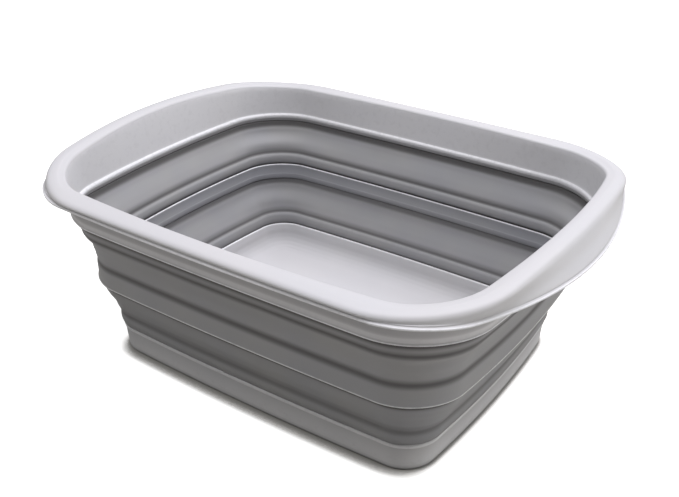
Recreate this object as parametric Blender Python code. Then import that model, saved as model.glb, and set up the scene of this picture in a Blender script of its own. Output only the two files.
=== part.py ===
# Collapsible wash tub. A base tray, a stiffening ring and a rim with two handle lips are rigid
# mouldings. Soft folding walls join them, so that the ring and the rim slide down round the base.
# Sizes are in millimetres. +X runs along the tub and +Z is up. The origin is at the centre of the
# base, on the surface that the tub stands on.

import math
from collections import namedtuple

import bmesh
import bpy
import numpy as np
from mathutils import Vector

MM = 0.001

# Plan at the foot of the wall: a rounded rectangle whose four sides bow outwards.
BODY_LENGTH = 258.4
BODY_WIDTH = 197.2
BODY_CORNER = 20.0
END_BOW = 5.2  # how far the middle of a short side stands out, at the foot
END_BOW_PER_MM = 0.048  # and how much more for each millimetre up
SIDE_BOW = 3.5
SIDE_BOW_PER_MM = -0.007

# Heights of the zones, from the foot upwards.
BASE_HEIGHT = 21.5
BASE_CUFF_HEIGHT = 11.8
LOWER_FOLD_HEIGHT = 27.4
MID_BAND_HEIGHT = 15.9
MID_CUFF_HEIGHT = 7.7
UPPER_FOLD_HEIGHT = 21.7
RIM_CUFF_HEIGHT = 6.4
RIM_HEIGHT = 26.1  # on the long sides, up to the mouth's edge

# How far the tray's top stands outside the plan at the foot, and each zone outside the last.
BASE_TOP_GROW = 1.9
BASE_CUFF_STEP = 1.2
LOWER_FOLD_STEP = 10.9
MID_BAND_STEP = 1.0
MID_CUFF_STEP = 0.1
UPPER_FOLD_STEP = 8.5
RIM_BAND_STEP = 2.8

SOFT_WALL = 1.9  # the folding wall, measured level
RIGID_WALL = 2.6
FLOOR_THICKNESS = 2.2
FOOT_HEIGHT = 1.8  # how far the floor stands above the surface below it
FOOT_WIDTH = 9.0
COVE = 14.0  # the rounded change from the tray's wall to its floor
FOOT_ROUND = 3.0
SKIRT_STEP_DOWN = 3.0  # the tray's skirt steps out by SKIRT_STEP_OUT this far below its top
SKIRT_STEP_OUT = 0.6
TRAY_LIP = 1.3  # height of the narrow lip round the tray's top edge, inside the soft collar
RING_WIDTH = 1.5
RING_SET_DOWN = 2.3  # the ring's top stands this far below the top of the soft band round it
GAP = 0.3  # between neighbouring pieces

# Rim: the mouth, the flange's outer edge and the lip's lower edge have plans of their own, with
# more bow than the wall. Each states its steps before bowing, which the bows then add to.
MOUTH_SET_IN = 3.7  # inside the band's outer face
MOUTH_CORNER_EXTRA = 15.1  # each corner radius stands over the body's
MOUTH_END_BOW = 17.3
MOUTH_SIDE_BOW = 8.3
FLANGE_END_STEP = 11.3  # outside the mouth
FLANGE_SIDE_STEP = 20.3
FLANGE_CORNER_EXTRA = 37.5
FLANGE_END_BOW = 19.1
FLANGE_SIDE_BOW = 1.9
LIP_END_STEP = -1.4
LIP_SIDE_STEP = 17.8
LIP_CORNER_EXTRA = 10.7
LIP_END_BOW = 40.3
LIP_SIDE_BOW = 3.9
RIM_RISE = 8.0  # how much higher the mouth is at the middle of the short sides
FLANGE_RISE = 9.2
LIP_DEPTH = 5.1  # below the flange's outer edge, on the long sides
HANDLE_DROP = 4.5  # how much lower the handle lip hangs than that
FLANGE_THICKNESS = 3.0
LIP_THICKNESS = 2.4
BEAD_HEIGHT = 6.0
BEAD_DEPTH = 2.0  # how far the bead stands out into the tub
REBATE = 1.8  # height of the step in the rim's foot that takes the soft cuff
REBATE_WIDTH = 2.2

# Points round a quarter of the plan: along the half end, round the corner, along the half side.
END_POINTS = 4
CORNER_POINTS = 8
SIDE_POINTS = 5
DENSE = 60
SMOOTH_BELOW = math.radians(40.0)

LIGHT_GREY = (0.66, 0.66, 0.68)
SOFT_GREY = (0.21, 0.21, 0.22)

Plan = namedtuple("Plan", "length width corner end_bow side_bow")
Level = namedtuple("Level", "plan z rise")
Stage = namedtuple("Stage", "empty z")
GROUND = Stage(None, 0.0)

BASE_CUFF_Z = BASE_HEIGHT + GAP
LOWER_FOLD_Z = BASE_HEIGHT + BASE_CUFF_HEIGHT
MID_Z = LOWER_FOLD_Z + LOWER_FOLD_HEIGHT
MID_RING_TOP_Z = MID_Z + MID_BAND_HEIGHT - RING_SET_DOWN
MID_CUFF_TOP_Z = MID_Z + MID_BAND_HEIGHT + MID_CUFF_HEIGHT
RIM_CUFF_Z = MID_CUFF_TOP_Z + UPPER_FOLD_HEIGHT
RIM_Z = RIM_CUFF_Z + RIM_CUFF_HEIGHT
MOUTH_Z = RIM_Z + RIM_HEIGHT
BASE_CUFF_GROW = BASE_TOP_GROW + BASE_CUFF_STEP
MID_BAND_GROW = BASE_CUFF_GROW + LOWER_FOLD_STEP + MID_BAND_STEP
MID_CUFF_GROW = MID_BAND_GROW + MID_CUFF_STEP
RIM_CUFF_GROW = MID_CUFF_GROW + UPPER_FOLD_STEP
RIM_BAND_GROW = RIM_CUFF_GROW + RIM_BAND_STEP
MOUTH_GROW = RIM_BAND_GROW - MOUTH_SET_IN


def clear_scene():
    for old in list(bpy.data.objects):
        bpy.data.objects.remove(old, do_unlink=True)


def wall_plan(grow, z):
    """The wall's outline at height z, grown evenly from the plan at the foot."""
    return Plan(
        BODY_LENGTH / 2 + grow,
        BODY_WIDTH / 2 + grow,
        BODY_CORNER + grow,
        END_BOW + END_BOW_PER_MM * z,
        SIDE_BOW + SIDE_BOW_PER_MM * z,
    )


def rim_plan(end_step, side_step, corner_extra, end_bow, side_bow):
    """An outline of the rim, stepped out from the mouth's."""
    return Plan(
        BODY_LENGTH / 2 + MOUTH_GROW + end_step,
        BODY_WIDTH / 2 + MOUTH_GROW + side_step,
        BODY_CORNER + corner_extra,
        end_bow,
        side_bow,
    )


def grown(plan, by):
    """The same outline, grown evenly."""
    return plan._replace(
        length=plan.length + by, width=plan.width + by, corner=plan.corner + by
    )


def between(a, b, share):
    return Plan(*(x + (y - x) * share for x, y in zip(a, b)))


def quarter(plan, ends, corners, sides):
    """Points from the middle of the +X end to the middle of the +Y side."""
    x0 = plan.length - plan.corner
    y0 = plan.width - plan.corner
    points = [(plan.length, y0 * k / ends) for k in range(ends)]
    for k in range(corners + 1):
        turn = math.pi / 2 * k / corners
        points.append((x0 + plan.corner * math.cos(turn), y0 + plan.corner * math.sin(turn)))
    points += [(x0 * (1 - k / sides), plan.width) for k in range(1, sides + 1)]
    flat = np.array(points)
    x, y = flat[:, 0], flat[:, 1]
    bowed_x = x * (1 + plan.end_bow / plan.length * (1 - (y / plan.width) ** 2))
    bowed_y = y * (1 + plan.side_bow / plan.width * (1 - (x / plan.length) ** 2))
    return np.column_stack([bowed_x, bowed_y])


def directions():
    """The angles of the quarter's points, the same for every outline, so that all rings line up."""
    points = quarter(wall_plan(MID_BAND_GROW, MID_Z), END_POINTS, CORNER_POINTS, SIDE_POINTS)
    return np.arctan2(points[:, 1], points[:, 0])


def ring(level):
    """The closed ring of points of one outline, its ends raised by the level's rise."""
    plan = level.plan
    dense = quarter(plan, DENSE, DENSE, DENSE)
    far = np.hypot(dense[:, 0], dense[:, 1])
    turn = np.arctan2(dense[:, 1], dense[:, 0])
    angles = directions()
    reach = np.interp(angles, turn, far)
    x = reach * np.cos(angles)
    y = reach * np.sin(angles)
    share = (x / (plan.length + plan.end_bow)) ** 2 * np.clip(1 - (y / plan.width) ** 2, 0, 1)
    z = level.z + level.rise * share
    first = [(x[k], y[k], z[k]) for k in range(len(x))]
    second = [(-px, py, pz) for px, py, pz in reversed(first[:-1])]
    half = first + second
    back = [(px, -py, pz) for px, py, pz in reversed(half[1:-1])]
    return half + back


def levels(pairs):
    """Levels of the wall from (grow, z) pairs."""
    return [Level(wall_plan(grow, z), z, 0.0) for grow, z in pairs]


def loft(name, section, colour, roughness, stage=GROUND, floor=False):
    """A closed body through the rings of a section, on its stage. A section with a floor is capped
    at its two ends, and any other one runs round to its first ring again."""
    build = bmesh.new()
    rows = []
    for level in section:
        points = [Vector((x, y, z - stage.z)) * MM for x, y, z in ring(level)]
        rows.append([build.verts.new(p) for p in points])
    count = len(rows[0])
    pairs = list(zip(rows, rows[1:]))
    if not floor:
        pairs.append((rows[-1], rows[0]))
    for low, high in pairs:
        for k in range(count):
            after = (k + 1) % count
            build.faces.new((low[k], low[after], high[after], high[k]))
    if floor:
        build.faces.new(rows[0])
        build.faces.new(rows[-1])
    bmesh.ops.recalc_face_normals(build, faces=build.faces)
    mesh = bpy.data.meshes.new(name)
    build.to_mesh(mesh)
    build.free()
    mesh.shade_smooth()
    mesh.set_sharp_from_angle(angle=SMOOTH_BELOW)
    mesh.materials.append(plastic(name, colour, roughness))
    body = bpy.data.objects.new(name, mesh)
    body.parent = stage.empty
    bpy.context.collection.objects.link(body)


def plastic(name, colour, roughness):
    material = bpy.data.materials.new(name)
    material.use_nodes = True
    shader = material.node_tree.nodes["Principled BSDF"]
    shader.inputs["Base Color"].default_value = (*colour, 1.0)
    shader.inputs["Roughness"].default_value = roughness
    shader.inputs["Metallic"].default_value = 0.0
    return material


def make_stage(name, z, below=GROUND):
    """A sliding stage: an empty on its slide axis, which its pieces are parented to."""
    empty = bpy.data.objects.new(name, None)
    empty.parent = below.empty
    empty.location = (0.0, 0.0, (z - below.z) * MM)
    bpy.context.collection.objects.link(empty)
    return Stage(empty, z)


def soft_section(outer, thickness=SOFT_WALL):
    """A wall's section: its outer face upwards, then its inner face downwards."""
    inner = [(grow - thickness, z) for grow, z in reversed(outer)]
    return levels(outer + inner)


def make_base_tray():
    """The tray from the middle of its recessed underside, over its foot and up the wall, down
    inside it and round the cove to the floor."""
    foot = FOOT_ROUND
    top = BASE_TOP_GROW
    step_z = BASE_HEIGHT - SKIRT_STEP_DOWN
    lip_z = BASE_HEIGHT + TRAY_LIP
    floor_z = FOOT_HEIGHT + FLOOR_THICKNESS
    inside = top - RIGID_WALL
    outline = [
        (-FOOT_WIDTH - foot - 2.0, FOOT_HEIGHT),
        (-FOOT_WIDTH - foot - 1.0, 0.0),
        (-foot, 0.0),
        (-0.5 * foot, 0.13 * foot),
        (-0.13 * foot, 0.5 * foot),
        (0.1, foot),
        (top - SKIRT_STEP_OUT, step_z),
        (top, step_z + SKIRT_STEP_OUT),
        (top, BASE_HEIGHT - 0.4),
        (top - 0.3, BASE_HEIGHT),
        (top - 1.0, BASE_HEIGHT),
        (top - 1.1, lip_z - 0.3),
        (top - 1.5, lip_z),
        (top - 2.1, lip_z - 0.1),
        (inside, lip_z - 0.7),
        (inside - 1.0, floor_z + 0.8 * COVE),
        (inside - 0.16 * COVE, floor_z + 0.4 * COVE),
        (inside - 0.42 * COVE, floor_z + 0.13 * COVE),
        (inside - COVE, floor_z),
    ]
    loft("base_tray", levels(outline), LIGHT_GREY, 0.42, floor=True)


def make_base_cuff():
    """The soft collar moulded onto the tray's top edge, outside the tray's raised lip."""
    low = BASE_CUFF_Z
    high = LOWER_FOLD_Z - GAP
    top = BASE_CUFF_GROW
    inner = BASE_TOP_GROW - 1.0 + GAP
    outline = [
        (inner + 0.5, low),
        (top - 0.3, low + 1.6),
        (top + 0.3, low + 5.0),
        (top - 0.1, high - 2.0),
        (top, high),
        (inner + 0.2, high),
        (inner, low),
    ]
    loft("base_cuff", levels(outline), SOFT_GREY, 0.6)


def make_lower_fold(stage):
    """The soft panel between the tray's collar and the stiffening ring."""
    low = LOWER_FOLD_Z
    high = MID_Z - GAP
    grow = BASE_CUFF_GROW
    shape = [(0.0, 0.0), (0.19, 0.2), (0.53, 0.47), (0.76, 0.75), (1.0, 1.0)]
    outer = [(grow + LOWER_FOLD_STEP * out, low + (high - low) * up) for out, up in shape]
    loft("lower_fold", soft_section(outer), SOFT_GREY, 0.6, stage)


def make_mid_ring(stage):
    """The rigid stiffening ring, seen inside the tub as a plain band."""
    low = MID_Z + 0.7
    high = MID_RING_TOP_Z
    outer = MID_BAND_GROW - SOFT_WALL - GAP
    inner = outer - RING_WIDTH
    outline = [
        (inner - 0.2, low),
        (outer, low),
        (outer, high),
        (outer - 0.4, high + 0.4),
        (outer - 1.0, high + 0.4),
        (inner, high),
    ]
    loft("mid_ring", levels(outline), LIGHT_GREY, 0.42, stage)


def make_mid_cuff(stage):
    """The soft band moulded round the stiffening ring, and the collar above it."""
    low = MID_Z
    band = MID_Z + MID_BAND_HEIGHT
    high = MID_CUFF_TOP_Z - GAP
    out = MID_BAND_GROW
    inner = out - SOFT_WALL
    outline = [
        (out - 0.4, low),
        (out, low + 1.3),
        (out, band - 2.0),
        (out - 0.6, band),
        (out, band + 1.8),
        (MID_CUFF_GROW, high),
        (MID_CUFF_GROW - SOFT_WALL + 0.1, high),
        (inner, band),
        (inner, low),
    ]
    loft("mid_cuff", levels(outline), SOFT_GREY, 0.6, stage)


def make_upper_fold(stage):
    """The soft panel between the stiffening ring's collar and the rim."""
    low = MID_CUFF_TOP_Z
    high = RIM_CUFF_Z - GAP
    grow = MID_CUFF_GROW
    shape = [(0.0, 0.0), (0.19, 0.27), (0.62, 0.64), (1.0, 1.0)]
    outer = [(grow + UPPER_FOLD_STEP * out, low + (high - low) * up) for out, up in shape]
    loft("upper_fold", soft_section(outer), SOFT_GREY, 0.6, stage)


def make_rim_cuff(stage):
    """The soft collar that stands in the rebate at the rim's foot."""
    high = RIM_Z - GAP
    rebate = high - REBATE
    step = RIM_BAND_GROW - REBATE_WIDTH + GAP
    outline = [
        (RIM_CUFF_GROW, RIM_CUFF_Z),
        (RIM_BAND_GROW - 0.8, high),
        (step, high),
        (step, rebate),
        (step - 0.9, rebate - 0.3),
        (RIM_CUFF_GROW - SOFT_WALL + 0.2, RIM_CUFF_Z),
    ]
    loft("rim_cuff", levels(outline), SOFT_GREY, 0.6, stage)


def make_rim_frame(stage):
    """The rim: a bead and wall inside, the mouth's rounded flange, a skirt that deepens and
    flares into a handle lip at each short end, and the wall's outer face down to its foot."""
    mouth = rim_plan(0.0, 0.0, MOUTH_CORNER_EXTRA, MOUTH_END_BOW, MOUTH_SIDE_BOW)
    flange = rim_plan(
        FLANGE_END_STEP, FLANGE_SIDE_STEP, FLANGE_CORNER_EXTRA, FLANGE_END_BOW, FLANGE_SIDE_BOW
    )
    lip = rim_plan(LIP_END_STEP, LIP_SIDE_STEP, LIP_CORNER_EXTRA, LIP_END_BOW, LIP_SIDE_BOW)
    foot_z = RIM_Z - REBATE
    bead_z = foot_z + BEAD_HEIGHT
    step = RIM_BAND_GROW - REBATE_WIDTH
    inner = step + 0.4
    under_z = MOUTH_Z - FLANGE_THICKNESS
    lip_z = MOUTH_Z - 0.6 - LIP_DEPTH
    middle_z = (MOUTH_Z - 1.6 + lip_z) / 2
    section = levels(
        [
            (inner - BEAD_DEPTH + 0.4, foot_z),
            (inner - BEAD_DEPTH, foot_z + 2.4),
            (inner - BEAD_DEPTH, bead_z - 1.0),
            (inner - 0.5 * BEAD_DEPTH, bead_z),
            (inner, bead_z + 0.8),
        ]
    )
    section += [
        Level(grown(mouth, -0.3), MOUTH_Z - 2.0, RIM_RISE),
        Level(grown(mouth, 0.3), MOUTH_Z, RIM_RISE),
        Level(grown(mouth, 2.6), MOUTH_Z + 1.1, RIM_RISE),
        Level(grown(flange, -3.4), MOUTH_Z + 0.9, FLANGE_RISE),
        Level(grown(flange, -0.8), MOUTH_Z - 0.1, FLANGE_RISE),
        Level(flange, MOUTH_Z - 1.6, FLANGE_RISE - 0.5),
        Level(between(flange, lip, 0.5), middle_z, (FLANGE_RISE - HANDLE_DROP) / 2),
        Level(lip, lip_z, -HANDLE_DROP),
        Level(grown(lip, -LIP_THICKNESS), lip_z + 0.2, -HANDLE_DROP),
        Level(grown(flange, -LIP_THICKNESS - 0.4), under_z - 0.2, FLANGE_RISE - 1.0),
        Level(grown(mouth, RIGID_WALL + 1.0), under_z, RIM_RISE),
        Level(grown(mouth, RIGID_WALL), under_z - 1.5, RIM_RISE),
    ]
    section += levels(
        [
            (RIM_BAND_GROW + 1.5, RIM_Z + 5.6),
            (RIM_BAND_GROW + 0.2, RIM_Z + 0.8),
            (RIM_BAND_GROW - 0.3, RIM_Z),
            (step, RIM_Z),
            (step, foot_z),
        ]
    )
    loft("rim_frame", section, LIGHT_GREY, 0.42, stage)


clear_scene()
lower_panel = make_stage("lower_panel_stage", LOWER_FOLD_Z)
mid = make_stage("mid_stage", MID_Z)
upper_panel = make_stage("upper_panel_stage", MID_CUFF_TOP_Z, mid)
rim = make_stage("rim_stage", RIM_Z, mid)
make_base_tray()
make_base_cuff()
make_lower_fold(lower_panel)
make_mid_ring(mid)
make_mid_cuff(mid)
make_upper_fold(upper_panel)
make_rim_cuff(rim)
make_rim_frame(rim)
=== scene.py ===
import math

import bpy
import numpy as np
from mathutils import Euler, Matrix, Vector


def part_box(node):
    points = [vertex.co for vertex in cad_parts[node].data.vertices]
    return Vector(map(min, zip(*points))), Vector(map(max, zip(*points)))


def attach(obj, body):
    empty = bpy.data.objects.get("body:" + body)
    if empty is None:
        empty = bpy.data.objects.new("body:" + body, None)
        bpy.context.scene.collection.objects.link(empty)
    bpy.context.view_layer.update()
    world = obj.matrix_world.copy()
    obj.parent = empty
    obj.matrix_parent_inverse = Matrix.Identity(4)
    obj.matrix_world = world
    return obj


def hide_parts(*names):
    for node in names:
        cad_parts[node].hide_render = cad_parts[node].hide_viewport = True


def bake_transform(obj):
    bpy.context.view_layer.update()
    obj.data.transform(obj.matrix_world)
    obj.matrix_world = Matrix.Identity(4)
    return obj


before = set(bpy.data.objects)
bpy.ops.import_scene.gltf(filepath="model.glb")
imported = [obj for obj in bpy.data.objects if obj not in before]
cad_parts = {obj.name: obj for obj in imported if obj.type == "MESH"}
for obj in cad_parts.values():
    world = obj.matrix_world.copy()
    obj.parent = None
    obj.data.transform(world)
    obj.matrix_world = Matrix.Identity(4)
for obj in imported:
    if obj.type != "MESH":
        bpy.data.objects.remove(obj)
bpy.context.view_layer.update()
mm = 0.001

# Sizes below are in millimetres. Every outline is a rounded rectangle whose sides bow outwards:
# half length, half width, corner radius, bow of the ends, bow of the long sides.
wall = {
    "corner": 20.0,
    "endBow": 5.2,
    "endBowPerMm": 0.048,
    "sideBow": 3.5,
    "sideBowPerMm": -0.007,
    "trayTopGrow": 1.9,  # how far the tray's top edge stands outside the foot
    "trayTop": 21.5,
    "rimBandGrow": 26.4,  # and how far the band at the rim's foot does
    "rimRebate": 2.2,  # depth of the step in that band, which takes the soft wall
    "gap": 0.3,  # between neighbouring pieces
}
mesh = {
    "ends": 16,  # points along half an end, round a corner and along half a side
    "corners": 26,
    "sides": 22,
    "middleWall": (15.0, 70.0),  # the wall's outline here sets where the points stand
    "fine": (70, 110, 70),  # points that an outline is first drawn with
    "rowStep": 1.2,  # rows of points on a section stand no further apart than this
    "mostCut": 0.48,  # the most of a stretch that rounding takes from each end
    "bendsPerMm": 2.5,  # rows on a rounded corner
    "fewestBends": 2,
    "mostBends": 6,
    "sharpAbove": 50.0,  # degrees
    "grooveFade": 0.9,
    "edgeFade": 0.15,
}


# The half sizes at the foot come from the tray's box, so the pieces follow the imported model.
def footHalves():
    low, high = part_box("base_tray")
    endBow = wall["endBow"] + wall["endBowPerMm"] * wall["trayTop"]
    sideBow = wall["sideBow"] + wall["sideBowPerMm"] * wall["trayTop"]
    return high.x / mm - wall["trayTopGrow"] - endBow, high.y / mm - wall["trayTopGrow"] - sideBow


halfLength, halfWidth = footHalves()


def wallOutline(grow, z):
    endBow = wall["endBow"] + wall["endBowPerMm"] * z
    sideBow = wall["sideBow"] + wall["sideBowPerMm"] * z
    return np.array([halfLength + grow, halfWidth + grow, wall["corner"] + grow, endBow, sideBow])


def grown(outline, by):
    return outline + np.array([by, by, by, 0.0, 0.0])


def quarterPoints(outline, ends, corners, sides):
    length, width, corner, endBow, sideBow = outline
    straightX, straightY = length - corner, width - corner
    turns = np.linspace(0.0, math.pi / 2, corners + 1)
    alongEnd = straightY * np.arange(ends) / ends
    alongSide = straightX * (1 - np.arange(1, sides + 1) / sides)
    x = np.concatenate([np.full(ends, length), straightX + corner * np.cos(turns), alongSide])
    y = np.concatenate([alongEnd, straightY + corner * np.sin(turns), np.full(sides, width)])
    bowedX = x * (1 + endBow / length * (1 - (y / width) ** 2))
    bowedY = y * (1 + sideBow / width * (1 - (x / length) ** 2))
    return bowedX, bowedY


# the directions of the points round a quarter, the same on every outline
spread = quarterPoints(wallOutline(*mesh["middleWall"]), mesh["ends"], mesh["corners"], mesh["sides"])
rays = np.arctan2(spread[1], spread[0])


# One corner of a section: how far out it is and how high, along each direction. soft is how far
# the corner is cut back before it is rounded, and tone is painted light: above zero it is painted
# shade in a groove, below zero a painted highlight on an edge.
def corner(outline, z, soft=0.5, tone=0.0, rise=0.0):
    x, y = quarterPoints(outline, *mesh["fine"])
    reach = np.interp(rays, np.arctan2(y, x), np.hypot(x, y))
    alongX = (reach * np.cos(rays) / (outline[0] + outline[3])) ** 2
    alongY = np.clip(1 - (reach * np.sin(rays) / outline[1]) ** 2, 0, 1)
    height = z + rise * alongX * alongY
    return {"at": np.stack([reach, height], 1), "soft": soft, "tone": tone}


def wallCorners(*rows):
    return [corner(wallOutline(grow, z), z, *rest) for grow, z, *rest in rows]


# Rounds a section's corners and adds rows between them: (points, tone) for each row.
def smoothSection(corners, closed, step):
    count = len(corners)
    rows = []
    for k, here in enumerate(corners):
        if not closed and k in (0, count - 1):
            rows.append((here["at"], here["tone"]))
            continue
        before, after = corners[k - 1], corners[(k + 1) % count]
        arms = []
        for other in (before, after):
            away = other["at"] - here["at"]
            far = np.linalg.norm(away, axis=1, keepdims=True)
            cut = np.minimum(here["soft"], mesh["mostCut"] * far)
            arms.append(here["at"] + away / np.maximum(far, 1e-9) * cut)
        wanted = int(round(here["soft"] * mesh["bendsPerMm"])) + 1
        bends = max(mesh["fewestBends"], min(mesh["mostBends"], wanted))
        for t in np.linspace(0, 1, bends + 1):
            at = (1 - t) ** 2 * arms[0] + 2 * t * (1 - t) * here["at"] + t**2 * arms[1]
            rows.append((at, here["tone"]))
    ends = rows[1:] + rows[:1] if closed else rows[1:]
    full = []
    for (at, tone), (nextAt, nextTone) in zip(rows, ends):
        parts = max(1, math.ceil(np.linalg.norm(nextAt - at, axis=1).max() / step))
        for j in range(parts):
            share = j / parts
            full.append((at + (nextAt - at) * share, tone + (nextTone - tone) * share))
    return full if closed else full + [rows[-1]]


# A row's points all the way round, from those of one quarter.
def wholeRow(at):
    x, y, z = at[:, 0] * np.cos(rays), at[:, 0] * np.sin(rays), at[:, 1]
    first = np.stack([x, y, z], 1)
    first[0, 1], first[-1, 0] = 0.0, 0.0
    half = np.concatenate([first, (first * [-1, 1, 1])[-2::-1]])
    return np.concatenate([half, (half * [1, -1, 1])[-2:0:-1]])


# A section's painted light fades along it: painted shade over a millimetre or so in a groove,
# painted highlight hardly at all at an edge.
def faded(rows, closed, side, fade):
    middle = len(rays) // 2
    places = np.array([at[middle] for at, tone in rows])
    steps = np.linalg.norm(np.diff(places, axis=0, append=places[:1]), axis=1)
    along = np.concatenate([[0.0], np.cumsum(steps)[:-1]])
    apart = np.abs(along[:, None] - along[None, :])
    if closed:
        apart = np.minimum(apart, steps.sum() - apart)
    depth = np.array([max(0.0, side * tone) for at, tone in rows])
    weight = np.exp(-0.5 * (apart / fade) ** 2) * (steps + np.roll(steps, 1) + 1e-6)[None, :]
    return weight @ depth / weight.sum(1)


def makePiece(name, corners, material, closed=True, shape=None):
    rows = smoothSection(corners, closed, mesh["rowStep"])
    points = np.stack([wholeRow(at) for at, tone in rows])
    # painted shade for the grooves and painted highlights for the edges, read by the materials
    grooveShade = faded(rows, closed, 1, mesh["grooveFade"])
    edgeHighlight = faded(rows, closed, -1, mesh["edgeFade"])
    around, high = points.shape[1], points.shape[0]
    column, line = np.meshgrid(np.arange(around), np.arange(high if closed else high - 1))
    nextColumn, nextLine = (column + 1) % around, (line + 1) % high
    quads = np.stack(
        [
            line * around + column,
            line * around + nextColumn,
            nextLine * around + nextColumn,
            nextLine * around + column,
        ],
        -1,
    ).reshape(-1, 4)
    faces = quads.tolist()
    if not closed:
        faces.append(list(range(around))[::-1])
        faces.append([(high - 1) * around + k for k in range(around)])
    flat = points.reshape(-1, 3)
    if shape:
        flat = shape(flat)
    data = bpy.data.meshes.new(name)
    data.from_pydata((flat * mm).tolist(), [], faces)
    data.update()
    for label, values in (("grooveShade", grooveShade), ("edgeHighlight", edgeHighlight)):
        shades = np.repeat(values, around).astype(np.float32)
        data.attributes.new(label, "FLOAT", "POINT").data.foreach_set("value", shades)
    data.shade_smooth()
    data.set_sharp_from_angle(angle=math.radians(mesh["sharpAbove"]))
    data.materials.append(material)
    piece = bpy.data.objects.new(name, data)
    bpy.context.scene.collection.objects.link(piece)
    print(name, len(flat), "points")
    return piece


# Effects that several materials share. Each is a group with named inputs and outputs.
def newGroup(name, inputs, outputs):
    group = bpy.data.node_groups.new(name, "ShaderNodeTree")
    for label, kind, value in inputs:
        socket = group.interface.new_socket(label, in_out="INPUT", socket_type=kind)
        socket.default_value = value
    for label, kind in outputs:
        group.interface.new_socket(label, in_out="OUTPUT", socket_type=kind)
    into = group.nodes.new("NodeGroupInput")
    out = group.nodes.new("NodeGroupOutput")
    return group, group.nodes, group.links, into, out


def addNode(nodes, kind, values=None, **settings):
    node = nodes.new(kind)
    for key, value in settings.items():
        setattr(node, key, value)
    for key, value in (values or {}).items():
        node.inputs[key].default_value = value
    return node


def mixColour(nodes, links, share, first, second):
    mixer = addNode(nodes, "ShaderNodeMix", data_type="RGBA")
    named = {socket.identifier: socket for socket in mixer.inputs}
    links.new(share, named["Factor_Float"])
    links.new(first, named["A_Color"])
    links.new(second, named["B_Color"])
    return next(socket for socket in mixer.outputs if socket.identifier == "Result_Color")


# Fine moulded grain: a height for the bump and slow, faint drifts of shade and gloss.
def makeMouldGrain():
    group, nodes, links, into, out = newGroup(
        "mouldGrain",
        [
            ("Grain Size", "NodeSocketFloat", 0.5),
            ("Drift Size", "NodeSocketFloat", 60.0),
            ("Drift Amount", "NodeSocketFloat", 0.04),
            ("Gloss Middle", "NodeSocketFloat", 0.4),
            ("Gloss Spread", "NodeSocketFloat", 0.08),
        ],
        [
            ("Height", "NodeSocketFloat"),
            ("Shade", "NodeSocketFloat"),
            ("Roughness", "NodeSocketFloat"),
            ("Drift", "NodeSocketFloat"),
        ],
    )
    place = addNode(nodes, "ShaderNodeTexCoord")
    sizes = {}
    for label in ("Grain Size", "Drift Size"):
        perMetre = addNode(nodes, "ShaderNodeMath", {0: 1000.0}, operation="DIVIDE")
        links.new(into.outputs[label], perMetre.inputs[1])
        sizes[label] = perMetre.outputs[0]
    grain = addNode(nodes, "ShaderNodeTexNoise", {"Detail": 3.0, "Roughness": 0.55})
    drift = addNode(nodes, "ShaderNodeTexNoise", {"Detail": 2.0, "Roughness": 0.5})
    for noise, label in ((grain, "Grain Size"), (drift, "Drift Size")):
        links.new(place.outputs["Object"], noise.inputs["Vector"])
        links.new(sizes[label], noise.inputs["Scale"])
    links.new(grain.outputs["Fac"], out.inputs["Height"])
    patchy = addNode(nodes, "ShaderNodeMapRange", {"From Min": 0.35, "From Max": 0.65})
    links.new(drift.outputs["Fac"], patchy.inputs["Value"])
    links.new(patchy.outputs["Result"], out.inputs["Drift"])
    centred = addNode(nodes, "ShaderNodeMath", {1: 0.5}, operation="SUBTRACT")
    links.new(drift.outputs["Fac"], centred.inputs[0])
    drifted = addNode(nodes, "ShaderNodeMath", {2: 1.0}, operation="MULTIPLY_ADD")
    links.new(centred.outputs[0], drifted.inputs[0])
    links.new(into.outputs["Drift Amount"], drifted.inputs[1])
    links.new(drifted.outputs[0], out.inputs["Shade"])
    mixed = addNode(nodes, "ShaderNodeMath", {1: -0.5}, operation="ADD")
    links.new(grain.outputs["Fac"], mixed.inputs[0])
    both = addNode(nodes, "ShaderNodeMath", operation="ADD")
    links.new(mixed.outputs[0], both.inputs[0])
    links.new(centred.outputs[0], both.inputs[1])
    gloss = addNode(nodes, "ShaderNodeMath", operation="MULTIPLY_ADD")
    links.new(both.outputs[0], gloss.inputs[0])
    links.new(into.outputs["Gloss Spread"], gloss.inputs[1])
    links.new(into.outputs["Gloss Middle"], gloss.inputs[2])
    links.new(gloss.outputs[0], out.inputs["Roughness"])
    return group
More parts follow.
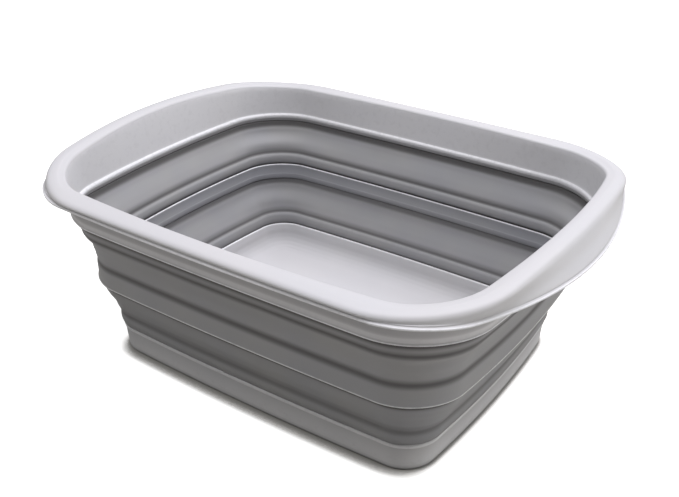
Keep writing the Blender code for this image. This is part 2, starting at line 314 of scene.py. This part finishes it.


# The piece's colour with painted light: painted shade darkens its grooves, and painted highlights,
# broken into patches, lighten its edges.
def makePaintedLightTone():
    group, nodes, links, into, out = newGroup(
        "paintedLightTone",
        [
            ("Colour", "NodeSocketColor", (0.5, 0.5, 0.5, 1)),
            ("Drift Colour", "NodeSocketColor", (0.5, 0.5, 0.5, 1)),
            ("Drift", "NodeSocketFloat", 0.0),
            ("Groove Shade Colour", "NodeSocketColor", (0.1, 0.1, 0.1, 1)),
            ("Edge Highlight Colour", "NodeSocketColor", (0.8, 0.8, 0.8, 1)),
            ("Highlight Patch Size", "NodeSocketFloat", 4.0),
            ("Shade", "NodeSocketFloat", 1.0),
        ],
        [("Colour", "NodeSocketColor")],
    )
    grooveShade = addNode(nodes, "ShaderNodeAttribute", attribute_name="grooveShade")
    edgeHighlight = addNode(nodes, "ShaderNodeAttribute", attribute_name="edgeHighlight")
    given = into.outputs
    plain = mixColour(nodes, links, given["Drift"], given["Colour"], given["Drift Colour"])
    # painted shade in the grooves
    dark = mixColour(nodes, links, grooveShade.outputs["Fac"], plain, given["Groove Shade Colour"])
    # patches that break up the painted highlights
    place = addNode(nodes, "ShaderNodeTexCoord")
    perMetre = addNode(nodes, "ShaderNodeMath", {0: 1000.0}, operation="DIVIDE")
    links.new(given["Highlight Patch Size"], perMetre.inputs[1])
    spots = addNode(nodes, "ShaderNodeTexNoise", {"Detail": 2.0, "Roughness": 0.6})
    links.new(place.outputs["Object"], spots.inputs["Vector"])
    links.new(perMetre.outputs[0], spots.inputs["Scale"])
    uneven = addNode(
        nodes, "ShaderNodeMapRange", {"From Min": 0.32, "From Max": 0.48, "To Min": 0.65, "To Max": 1.0}
    )
    links.new(spots.outputs["Fac"], uneven.inputs["Value"])
    patchyHighlight = addNode(nodes, "ShaderNodeMath", operation="MULTIPLY")
    links.new(edgeHighlight.outputs["Fac"], patchyHighlight.inputs[0])
    links.new(uneven.outputs["Result"], patchyHighlight.inputs[1])
    # painted highlights along the edges
    light = mixColour(nodes, links, patchyHighlight.outputs[0], dark, given["Edge Highlight Colour"])
    shaded = addNode(nodes, "ShaderNodeVectorMath", operation="SCALE")
    links.new(light, shaded.inputs[0])
    links.new(given["Shade"], shaded.inputs["Scale"])
    links.new(shaded.outputs[0], out.inputs["Colour"])
    return group


mouldGrain = makeMouldGrain()
paintedLightTone = makePaintedLightTone()


# Moulded plastic or rubber. Constant values go straight onto the shader's own sockets.
def mouldedMaterial(name, look):
    material = bpy.data.materials.new(name)
    material.use_nodes = True
    nodes, links = material.node_tree.nodes, material.node_tree.links
    shader = nodes["Principled BSDF"]
    for socket, value in look["shader"].items():
        shader.inputs[socket].default_value = value
    grain = nodes.new("ShaderNodeGroup")
    grain.node_tree = mouldGrain
    for socket, value in look["grain"].items():
        grain.inputs[socket].default_value = value
    tone = nodes.new("ShaderNodeGroup")
    tone.node_tree = paintedLightTone
    for socket, value in look["tone"].items():
        tone.inputs[socket].default_value = (*value, 1.0)
    links.new(grain.outputs["Shade"], tone.inputs["Shade"])
    links.new(grain.outputs["Drift"], tone.inputs["Drift"])
    links.new(tone.outputs["Colour"], shader.inputs["Base Color"])
    links.new(grain.outputs["Roughness"], shader.inputs["Roughness"])
    depth = look["bumpDepth"] * mm
    bump = addNode(nodes, "ShaderNodeBump", {"Strength": look["bump"], "Distance": depth})
    links.new(grain.outputs["Height"], bump.inputs["Height"])
    links.new(bump.outputs["Normal"], shader.inputs["Normal"])
    return material


rigidLook = {
    "shader": {"Specular IOR Level": 0.3},
    "grain": {
        "Grain Size": 0.45,
        "Drift Size": 90.0,
        "Drift Amount": 0.03,
        "Gloss Middle": 0.5,
        "Gloss Spread": 0.1,
    },
    "tone": {
        "Colour": (0.553, 0.552, 0.56),
        "Drift Colour": (0.558, 0.553, 0.555),
        # the groove colour is painted shade and the edge colour a painted highlight
        "Groove Shade Colour": (0.12, 0.118, 0.118),
        "Edge Highlight Colour": (0.9, 0.9, 0.91),
    },
    "bump": 0.12,
    "bumpDepth": 0.05,  # millimetres
}
ringLook = {
    "shader": {"Specular IOR Level": 0.35},
    "grain": {
        "Grain Size": 0.6,
        "Drift Size": 70.0,
        "Drift Amount": 0.05,
        "Gloss Middle": 0.45,
        "Gloss Spread": 0.1,
    },
    "tone": {
        "Colour": (0.335, 0.342, 0.362),
        "Drift Colour": (0.342, 0.346, 0.355),
        # the groove colour is painted shade and the edge colour a painted highlight
        "Groove Shade Colour": (0.08, 0.08, 0.085),
        "Edge Highlight Colour": (0.95, 0.95, 0.97),
    },
    "bump": 0.12,
    "bumpDepth": 0.05,
}
softLook = {
    "shader": {"Specular IOR Level": 0.3, "Sheen Weight": 0.05, "Sheen Roughness": 0.5},
    "grain": {
        "Grain Size": 0.7,
        "Drift Size": 40.0,
        "Drift Amount": 0.1,
        "Gloss Middle": 0.58,
        "Gloss Spread": 0.14,
    },
    "tone": {
        "Colour": (0.35, 0.353, 0.362),
        "Drift Colour": (0.357, 0.356, 0.353),
        # the groove colour is painted shade and the edge colour a painted highlight
        "Groove Shade Colour": (0.085, 0.082, 0.08),
        "Edge Highlight Colour": (0.75, 0.75, 0.74),
    },
    "bump": 0.2,
    "bumpDepth": 0.08,
}
rigidPlastic = mouldedMaterial("rigidPlastic", rigidLook)
ringPlastic = mouldedMaterial("ringPlastic", ringLook)
softWall = mouldedMaterial("softWall", softLook)
print("materials ready")


trayShape = {
    "footHeight": 1.8,  # how far the underside is recessed
    "floorTop": 4.0,
    "footRound": 3.0,
    "footWidth": 9.0,
    "wallThickness": 2.6,
    "floorInset": 1.0,  # how much narrower the inside is at the cove than at the top
    "cove": 14.0,
    "coveSteps": 7,
    "step": 3.0,  # the faint step below the top edge
    "stepOut": 0.6,
    "lip": 1.3,  # height of the narrow lip that shows above the soft collar
    "floorRings": (0.75, 0.5, 0.25),  # rows of points that close the floor
    "underRings": (0.25, 0.6),
}


def makeBaseTray():
    top, topZ = wall["trayTopGrow"], wall["trayTop"]
    inside = top - trayShape["wallThickness"]
    floorZ, cove, inset = trayShape["floorTop"], trayShape["cove"], trayShape["floorInset"]
    foot, footZ = trayShape["footRound"], trayShape["footHeight"]
    footInside = -trayShape["footWidth"] - foot
    stepZ, lipZ = topZ - trayShape["step"], topZ + trayShape["lip"]
    # the last number of a row is painted light: painted shade on the foot's rounding, under the step
    # and below the lip; painted highlights on the lower skirt, the step, the top edge and the lip
    rows = wallCorners(
        (footInside - 2.0, footZ, 0.5),
        (footInside - 1.0, 0.0, 0.6),
        (-foot, 0.0, 0.6, 1.0),
        (-0.1, 0.3, foot, 1.0),
        (0.3, 3.2, 1.0, -0.1),
        (0.45, 6.0, 1.5, -0.25),
        (top - trayShape["stepOut"], stepZ, 0.3, 0.15),
        (top, stepZ + trayShape["stepOut"], 0.3, -0.35),
        (top, topZ - 0.4, 0.4, -0.3),
        (top - 1.0, topZ, 0.2, 0.5),
        (top - 1.1, lipZ, 0.4, -1.0),
        (top - 2.2, lipZ, 0.5, -1.0),
        (inside - 0.2, topZ - 0.4, 0.8),
        (inside - inset, floorZ + cove, 3.0),
    )
    for turn in np.linspace(0, math.pi / 2, trayShape["coveSteps"])[1:-1]:
        inwards = inset + (cove - inset) * (1 - math.cos(turn))
        rows += wallCorners((inside - inwards, floorZ + cove * (1 - math.sin(turn)), 1.0))
    flat = wallOutline(inside - cove, floorZ)
    rows.append(corner(flat, floorZ, 3.0))
    rows += [corner(flat * share, floorZ, 0.0) for share in trayShape["floorRings"]]
    under = wallOutline(footInside - 2.5, 0)
    below = [corner(under * share, footZ, 0.0) for share in trayShape["underRings"]]
    tray = makePiece("baseTray", below + rows, rigidPlastic, closed=False)
    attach(tray, "base")
    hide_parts("base_tray")


softPanels = {
    "ripple": 0.22,  # how far the soft panels wander in and out
    # the waves that make that up: how many go round, where one starts, its twist, its strength
    "waves": ((7, 0.6, 0, 1.0), (13, 2.1, 2, 0.7), (23, 4.0, 0, 0.5)),
    "stretch": 1.3,  # evens out the waves between the ends and the longer sides
    "outerPaintedShade": 0.17,  # painted shade: the outside of the soft wall is a little darker
    "buckle": 1.2,  # how far a panel swells at each corner, above a dent
    "buckleWidth": 0.2,  # radians
}


# Soft panels are never quite even: they wander a little in the middle of each fold zone.
def ripple(points, low, high):
    turn = np.arctan2(points[:, 1] * softPanels["stretch"], points[:, 0])
    share = np.clip((points[:, 2] - low) / (high - low), 0, 1)
    swell = np.sin(math.pi * share) ** 2
    wander = 0.0
    for count, start, twist, strength in softPanels["waves"]:
        wander = wander + strength * np.sin(count * turn + start + twist * share)
    reach = np.hypot(points[:, 0], points[:, 1])
    towards = np.arctan2(np.abs(points[:, 1]) / halfWidth, np.abs(points[:, 0]) / halfLength)
    atCorner = np.exp(-(((towards - math.pi / 4) / softPanels["buckleWidth"]) ** 2))
    buckle = np.sin(2 * math.pi * share - 0.5 * math.pi * (1 - share)) * np.sin(math.pi * share)
    outwards = softPanels["ripple"] * swell * wander - softPanels["buckle"] * atCorner * buckle
    scale = 1 + outwards / reach
    return points * np.stack([scale, scale, np.ones_like(scale)], 1)


# Painted shade on the outside rows of the soft wall: a little darker except along their edges.
def paintOuterShade(rows):
    shade = softPanels["outerPaintedShade"]
    return [(*row, tone + shade if tone >= 0 else tone) for *row, tone in rows]


# Both sleeves and the ring are lists of rows: how far outside the foot's outline a row stands, its
# height, how far it is cut back, its tone (painted shade above zero, painted highlight below). The
# outside goes upwards and the inside comes back down.
lowerSleeve = {
    "fold": (33.3, 60.4),  # the panel folds between these heights
    "tongue": 0.8,  # stands this far up into the band above
    # painted shade in the grooves and in the dark line at the top, a faint painted highlight on the
    # inner ridge
    "outer": [
        (1.7, 21.8, 0.2, 0.9),
        (2.5, 22.5, 0.5, 0.3),
        (3.5, 25.6, 2.2, 0.1),
        (3.5, 28.6, 2.0, 0.1),
        (2.9, 32.4, 2.4, 0.5),
        (4.3, 36.4, 2.2, 0.2),
        (6.6, 41.2, 2.5, 0.0),
        (9.1, 46.4, 3.0, 0.0),
        (11.0, 53.6, 3.0, 0.0),
        (12.3, 57.0, 1.2, 0.1),
        (12.9, 58.4, 0.3, 1.0),
        (13.3, 59.3, 0.3, 1.0),
        (13.8, 60.1, 0.2, 1.0),
    ],
    "inner": [
        (11.8, 57.4, 1.0, 0.7),
        (10.4, 55.8, 1.3, 0.2),
        (7.3, 46.8, 3.5, 0.0),
        (4.3, 39.8, 3.5, 0.05),
        (2.5, 35.8, 2.0, 0.45),
        (2.1, 33.8, 1.4, 1.0),
        (0.5, 32.4, 1.6, -0.12),
        (0.1, 29.6, 1.6, 0.0),
        (0.5, 25.4, 1.4, 0.25),
        (1.2, 23.3, 0.5, 0.7),
        (1.2, 21.8, 0.2, 1.0),
    ],
}


def makeSleeve(name, outer, inner, low, high):
    rows = wallCorners(*paintOuterShade(outer), *inner)
    return makePiece(name, rows, softWall, shape=lambda points: ripple(points, low, high))


def makeLowerSleeve():
    low, high = lowerSleeve["fold"]
    tip = high + lowerSleeve["tongue"]
    # painted shade in the gap under the band above
    outer = lowerSleeve["outer"] + [(13.3, high, 0.2, 1.0), (13.3, tip, 0.2, 1.0)]
    inner = [(12.4, tip, 0.2, 0.7), (12.1, high, 0.4, 0.7)] + lowerSleeve["inner"]
    piece = makeSleeve("lowerSleeve", outer, inner, low, high)
    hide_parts("base_cuff", "lower_fold")
    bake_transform(piece)


ringShape = {
    # a painted highlight along the top edge and a faint painted line lower down, painted shade at the
    # foot and just under the top edge
    "section": [
        (11.4, 61.7, 0.5, 0.6),
        (12.8, 61.4, 0.3, 0.3),
        (12.8, 74.4, 0.3, 0.0),
        (12.5, 74.8, 0.1, 0.0),
        (11.9, 74.95, 0.1, -0.5),
        (11.5, 74.9, 0.2, -1.0),
        (11.2, 74.5, 0.15, -0.6),
        (11.3, 73.9, 0.2, 0.3),
        (11.35, 67.0, 0.3, 0.0),
        (11.2, 66.2, 0.25, -0.12),
        (11.35, 65.4, 0.3, 0.1),
    ],
}


def makeMidRing():
    piece = makePiece("midRing", wallCorners(*ringShape["section"]), ringPlastic)
    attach(piece, "mid")
    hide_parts("mid_ring")


upperSleeve = {
    "fold": (84.3, 105.7),
    "tongue": (110.3, 112.1),  # the part that stands in the rim's rebate
    # a painted highlight on the crisp lower edge and the inner ridge, painted shade in the grooves and
    # under the rim
    "outer": [
        (13.6, 60.8, 0.1, 0.8),
        (14.6, 60.8, 0.2, 0.2),
        (15.6, 61.2, 0.15, -1.0),
        (15.5, 61.6, 0.15, -1.0),
        (15.1, 61.9, 0.3, 0.0),
        (14.8, 66.5, 2.0, 0.0),
        (14.9, 72.8, 2.0, 0.0),
        (14.5, 75.2, 1.2, 0.55),
        (14.1, 76.6, 1.2, 0.85),
        (14.5, 78.6, 1.4, 0.4),
        (15.0, 81.2, 1.6, 0.0),
        (15.3, 85.4, 2.5, 0.0),
        (16.9, 90.6, 3.0, 0.0),
        (20.3, 97.8, 2.5, 0.0),
        (21.4, 100.4, 1.2, 0.4),
        (21.6, 102.2, 1.2, 0.9),
        (22.6, 104.0, 1.2, 0.4),
        (23.8, 106.6, 1.6, 0.15),
        (24.6, 109.0, 0.6, 0.45),
    ],
    "inner": [
        (23.1, 110.0, 0.5, 1.0),
        (22.8, 106.4, 1.0, 0.85),
        (21.3, 104.4, 1.3, 0.15),
        (18.4, 97.8, 3.5, 0.0),
        (14.9, 90.6, 3.5, 0.05),
        (13.7, 87.4, 2.2, 0.45),
        (13.5, 85.2, 1.4, 1.0),
        (11.9, 83.6, 1.6, -0.12),
        (11.5, 81.0, 1.6, 0.0),
        (12.0, 77.6, 1.2, 0.3),
        (12.9, 75.6, 0.4, 1.0),
        (13.1, 75.2, 0.2, 1.0),
        (13.1, 61.5, 0.1, 0.4),
        (13.6, 61.5, 0.1, 0.8),
    ],
}


def makeUpperSleeve():
    low, high = upperSleeve["fold"]
    foot, tip = upperSleeve["tongue"]
    step = wall["rimBandGrow"] - wall["rimRebate"] + wall["gap"]
    # painted shade where the tongue stands under the rim
    outer = upperSleeve["outer"] + [(25.0, foot, 0.6, 1.0), (25.4, tip, 0.4, 1.0)]
    inner = [(step, tip, 0.1, 0.8), (step, foot, 0.1, 0.8)] + upperSleeve["inner"]
    piece = makeSleeve("upperSleeve", outer, inner, low, high)
    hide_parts("mid_cuff", "upper_fold", "rim_cuff")
    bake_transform(piece)


rimShape = {
    "mouth": (151.9, 121.3, 35.1, 17.3, 8.3),  # outlines, as at the top
    "flange": (163.2, 141.6, 57.5, 19.1, 1.9),
    "lip": (150.5, 139.1, 30.7, 40.3, 3.9),
    "mouthZ": 138.5,
    "mouthRise": 8.0,  # how much higher it is at the middle of the ends
    "flangeRise": 9.2,
    "flangeThickness": 3.0,
    "lipZ": 132.8,
    "lipRise": -4.5,
    "lipThickness": 2.4,
    "lipBead": 0.7,  # the thin bead along the lip's lower edge stands out this far
    # painted highlight on that bead
    "lipBeadHighlight": -0.5,
    "footZ": 110.6,
    "footInset": 0.4,  # the inside stands this far outside the rebate
    "bandZ": 112.4,  # where the band outside the soft wall starts
}


def makeRim():
    mouth, flange, lip = (np.array(rimShape[name], float) for name in ("mouth", "flange", "lip"))
    mouthZ, mouthRise, flangeRise = rimShape["mouthZ"], rimShape["mouthRise"], rimShape["flangeRise"]
    lipZ, lipRise, lipThickness = rimShape["lipZ"], rimShape["lipRise"], rimShape["lipThickness"]
    bead, beadHighlight = rimShape["lipBead"], rimShape["lipBeadHighlight"]
    footZ, bandZ, band = rimShape["footZ"], rimShape["bandZ"], wall["rimBandGrow"]
    step = band - wall["rimRebate"]
    inner = step + rimShape["footInset"]
    underZ = mouthZ - rimShape["flangeThickness"]
    face, faceZ, faceRise = (flange + lip) / 2, (mouthZ - 1.0 + lipZ) / 2, (flangeRise + lipRise) / 2
    # the inner wall's foot, with the bead that runs round above it: painted shade at the foot and
    # painted highlights on the bead
    rows = wallCorners(
        (inner - 1.0, footZ + 0.2, 0.4, 0.8),
        (inner - 1.1, footZ + 2.4, 0.3, 0.6),
        (inner - 1.8, footZ + 3.0, 0.3, -0.3),
        (inner - 1.9, footZ + 4.7, 0.4, -0.35),
        (inner - 1.3, footZ + 5.5, 0.4, -0.5),
        (inner - 0.4, footZ + 5.9, 0.3, -0.7),
        (inner + 0.1, footZ + 6.9, 0.5, -0.2),
    )
    # over the flange, down its face to the lip, and back up behind it: a painted highlight just inside
    # the mouth, a painted highlight on the lip's bead and painted shade above and below it
    rows += [
        corner(grown(mouth, -0.4), mouthZ - 2.4, 2.2, -0.25, mouthRise),
        corner(grown(mouth, 0.5), mouthZ + 1.0, 1.6, 0, mouthRise),
        corner(grown(mouth, 4.0), mouthZ + 1.3, 2.0, 0, mouthRise + 0.6),
        corner(grown(flange, -7.0), mouthZ + 1.25, 3.0, 0, flangeRise - 0.3),
        corner(grown(flange, -2.0), mouthZ + 0.6, 2.5, 0, flangeRise),
        corner(grown(flange, 0.1), mouthZ - 1.5, 1.8, 0, flangeRise - 0.3),
        corner(grown(face, -0.9), faceZ, 2.0, 0.0, faceRise),
        corner(grown(lip, -0.9), lipZ + 3.0, 0.6, 0.05, lipRise),
        corner(grown(lip, -0.9), lipZ + 2.2, 0.3, 0.15, lipRise),
        corner(grown(lip, bead), lipZ + 1.6, 0.4, beadHighlight, lipRise),
        corner(grown(lip, bead), lipZ + 0.5, 0.4, beadHighlight, lipRise),
        corner(grown(lip, -0.3), lipZ, 0.3, 0.3, lipRise),
        corner(grown(lip, -lipThickness), lipZ + 0.2, 0.8, 0.2, lipRise),
        corner(grown(flange, -lipThickness - 0.4), underZ - 0.2, 1.5, 0.2, flangeRise - 1.0),
        corner(grown(mouth, 3.6), underZ, 2.0, 0.3, mouthRise),
    ]
    # the outer wall's ridges, down to the rebate: painted highlights on the ridges, painted shade under
    # them
    rows += wallCorners(
        (band + 2.4, bandZ + 9.0, 3.0, 0.3),
        (band + 1.3, bandZ + 4.6, 0.5, -0.15),
        (band + 1.0, bandZ + 3.0, 0.5, -0.1),
        (band + 0.7, bandZ + 1.5, 0.5, 0.1),
        (band + 1.3, bandZ + 0.9, 0.25, -1.0),
        (band + 1.2, bandZ + 0.4, 0.2, -0.8),
        (band - 0.1, bandZ, 0.3, 1.0),
        (step, bandZ, 0.1, 0.5),
        (step, footZ, 0.1, 0.5),
    )
    piece = makePiece("rim", rows, rigidPlastic)
    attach(piece, "rim")
    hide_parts("rim_frame")


makeBaseTray()
makeLowerSleeve()
makeMidRing()
makeUpperSleeve()
makeRim()


studio = {
    "floorSize": 12.0,
    "floorColour": (0.5, 0.485, 0.455, 1.0),
    "floorGlow": 0.95,  # lifts the paper to white where it is seen, and lights nothing
    "contact": 0.011,  # metres over which the shade under the tub's edge fades
    "contactFade": (0.5, 0.74),
    "contactLean": 3.0,  # how far that shade keeps to the front
    "contactLine": 0.004,  # the thin painted line of shade right round the foot
    "lineFade": (0.5, 0.9),
    "aimHeight": 0.05,  # the lamps point here, above the origin
    "lamps": {
        # name: place, size in metres, watts, colour
        "topLamp": ((0.1, 0.35, 1.9), 1.5, 39.5, (0.945, 0.93, 1.0)),
        "frontLamp": ((-0.9, -1.5, 2.0), 1.0, 15.5, (0.98, 0.975, 0.995)),
        "lowLamp": ((-0.6, -1.9, 0.4), 1.0, 1.8, (1.0, 0.99, 0.95)),
        "rightLamp": ((1.85, 0.65, 0.25), 1.0, 15.5, (1.0, 1.0, 0.99)),
        "fillLamp": ((1.0, 0.4, 1.6), 1.0, 9.0, (0.965, 0.96, 1.0)),
        "backLamp": ((-0.8, 2.2, 0.8), 1.0, 3.5, (1.0, 0.995, 0.99)),
    },
    "sky": 0.11,
}


def fadeBetween(nodes, ends):
    return addNode(nodes, "ShaderNodeMapRange", {"From Min": ends[0], "From Max": ends[1]})


# White paper whose glow is taken away in front of the tub and in a thin line where the tub stands:
# painted shade, through which the lamps' own shadow on the paper shows.
def makePaper():
    paper = bpy.data.materials.new("paper")
    paper.use_nodes = True
    nodes, links = paper.node_tree.nodes, paper.node_tree.links
    shader = nodes["Principled BSDF"]
    shader.inputs["Base Color"].default_value = studio["floorColour"]
    shader.inputs["Roughness"].default_value = 0.9
    shader.inputs["Specular IOR Level"].default_value = 0.1
    glow = addNode(nodes, "ShaderNodeMath", {1: studio["floorGlow"]}, operation="MULTIPLY")
    shade = addNode(nodes, "ShaderNodeAmbientOcclusion", {"Distance": studio["contact"]}, samples=8)
    lean = addNode(nodes, "ShaderNodeVectorMath", {1: (0, studio["contactLean"], 0)}, operation="ADD")
    unit = addNode(nodes, "ShaderNodeVectorMath", operation="NORMALIZE")
    links.new(nodes.new("ShaderNodeTexCoord").outputs["Normal"], lean.inputs[0])
    links.new(lean.outputs[0], unit.inputs[0])
    links.new(unit.outputs[0], shade.inputs["Normal"])
    uncovered = fadeBetween(nodes, studio["contactFade"])
    line = addNode(nodes, "ShaderNodeAmbientOcclusion", {"Distance": studio["contactLine"]}, samples=8)
    offLine = fadeBetween(nodes, studio["lineFade"])
    inTheOpen = addNode(nodes, "ShaderNodeMath", operation="MULTIPLY")
    seen = addNode(nodes, "ShaderNodeMath", operation="MULTIPLY")
    links.new(shade.outputs["AO"], uncovered.inputs["Value"])
    links.new(line.outputs["AO"], offLine.inputs["Value"])
    links.new(uncovered.outputs["Result"], inTheOpen.inputs[0])
    links.new(offLine.outputs["Result"], inTheOpen.inputs[1])
    links.new(nodes.new("ShaderNodeLightPath").outputs["Is Camera Ray"], seen.inputs[0])
    links.new(inTheOpen.outputs[0], seen.inputs[1])
    links.new(seen.outputs[0], glow.inputs[0])
    shader.inputs["Emission Color"].default_value = (1, 1, 1, 1)
    links.new(glow.outputs[0], shader.inputs["Emission Strength"])
    return paper


def makeStudio():
    half = studio["floorSize"] / 2
    data = bpy.data.meshes.new("floor")
    corners = [(-half, -half, 0), (half, -half, 0), (half, half, 0), (-half, half, 0)]
    data.from_pydata(corners, [], [(0, 1, 2, 3)])
    data.materials.append(makePaper())
    floor = bpy.data.objects.new("floor", data)
    bpy.context.scene.collection.objects.link(floor)
    aim = Vector((0, 0, studio["aimHeight"]))
    for name, (place, size, watts, colour) in studio["lamps"].items():
        lamp = bpy.data.lights.new(name, "AREA")
        lamp.size, lamp.energy, lamp.color = size, watts, colour
        holder = bpy.data.objects.new(name, lamp)
        holder.location = place
        holder.rotation_euler = (aim - holder.location).to_track_quat("-Z", "Y").to_euler()
        bpy.context.scene.collection.objects.link(holder)
    world = bpy.data.worlds.new("studio")
    bpy.context.scene.world = world
    world.use_nodes = True
    background = world.node_tree.nodes["Background"]
    background.inputs["Color"].default_value = (1, 1, 1, 1)
    # the sky is white where it is seen, and lights the tub faintly
    glow = addNode(
        world.node_tree.nodes,
        "ShaderNodeMath",
        {1: 1 - studio["sky"], 2: studio["sky"]},
        operation="MULTIPLY_ADD",
    )
    straight = world.node_tree.nodes.new("ShaderNodeLightPath")
    world.node_tree.links.new(straight.outputs["Is Camera Ray"], glow.inputs[0])
    world.node_tree.links.new(glow.outputs[0], background.inputs["Strength"])
    bpy.context.scene.view_settings.view_transform = "Standard"
    bpy.context.scene.view_settings.look = "None"


view = {
    "azimuth": 35.215,
    "elevation": 29.142,
    "roll": -0.209,
    "distance": 0.66951,
    "target": (0.0, 0.0, 0.070),
    "lens": 48.857,
    "sensor": 36.0,
    "clip": (0.01, 50.0),
    "shiftX": 0.0080,
    "shiftY": 0.0131,
}


def makeCamera():
    turn, lift = math.radians(view["azimuth"]), math.radians(view["elevation"])
    back = Vector((math.sin(turn) * math.cos(lift), -math.cos(turn) * math.cos(lift), math.sin(lift)))
    data = bpy.data.cameras.new("camera")
    data.lens, data.sensor_width = view["lens"], view["sensor"]
    data.shift_x, data.shift_y = view["shiftX"], view["shiftY"]
    data.clip_start, data.clip_end = view["clip"]
    camera = bpy.data.objects.new("camera", data)
    camera.location = Vector(view["target"]) + back * view["distance"]
    aimed = (-back).to_track_quat("-Z", "Y").to_matrix()
    rolled = aimed @ Euler((0, 0, math.radians(view["roll"]))).to_matrix()
    camera.rotation_euler = rolled.to_euler()
    bpy.context.scene.collection.objects.link(camera)
    bpy.context.scene.camera = camera


makeStudio()
print("studio ready")
makeCamera()
print("camera ready")
